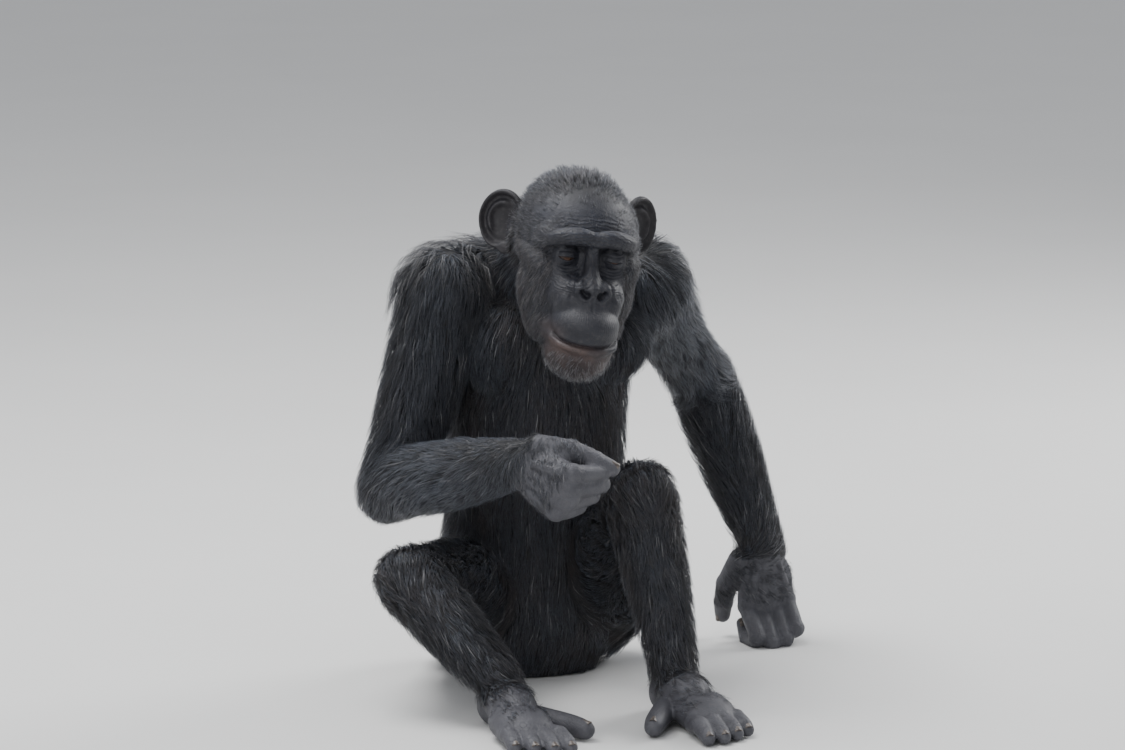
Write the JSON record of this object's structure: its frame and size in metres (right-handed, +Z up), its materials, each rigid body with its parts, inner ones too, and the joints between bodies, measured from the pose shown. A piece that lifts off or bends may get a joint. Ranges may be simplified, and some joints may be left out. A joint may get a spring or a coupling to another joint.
{
  "type": "chimpanzee",
  "caption": "Adult chimpanzee seated on the ground as a still museum model, one hand held up in front, the other arm propped on its knuckles.",
  "frame": {"origin": "on the floor, under the middle of the bounding box", "axes": "+Z up, the animal faces -Y, its right side is at -X"},
  "size_m": [0.5844, 0.5932, 0.6152],
  "materials": {
    "coat": "long black hair, slightly glossy, grey at the shoulders",
    "skin": "dark grey bare skin with fine wrinkles",
    "hands": "grey bare skin with creases over the knuckles",
    "eyes": "wet amber-brown"
  },
  "bodies": {
    "root": {"neck": "coat", "chest": "coat", "abdomen": "coat", "upper_arm_right": "coat", "upper_arm_left": "coat", "forearm_right": "coat", "forearm_left": "coat", "thigh_right": "coat", "thigh_left": "coat", "shin_right": "coat", "shin_left": "coat", "head": "skin", "ear_right": "skin", "ear_left": "skin", "hand_right": "hands", "hand_left": "hands", "foot_right": "hands", "foot_left": "hands", "eye_right": "eyes", "eye_left": "eyes"}
  },
  "joints": []
}
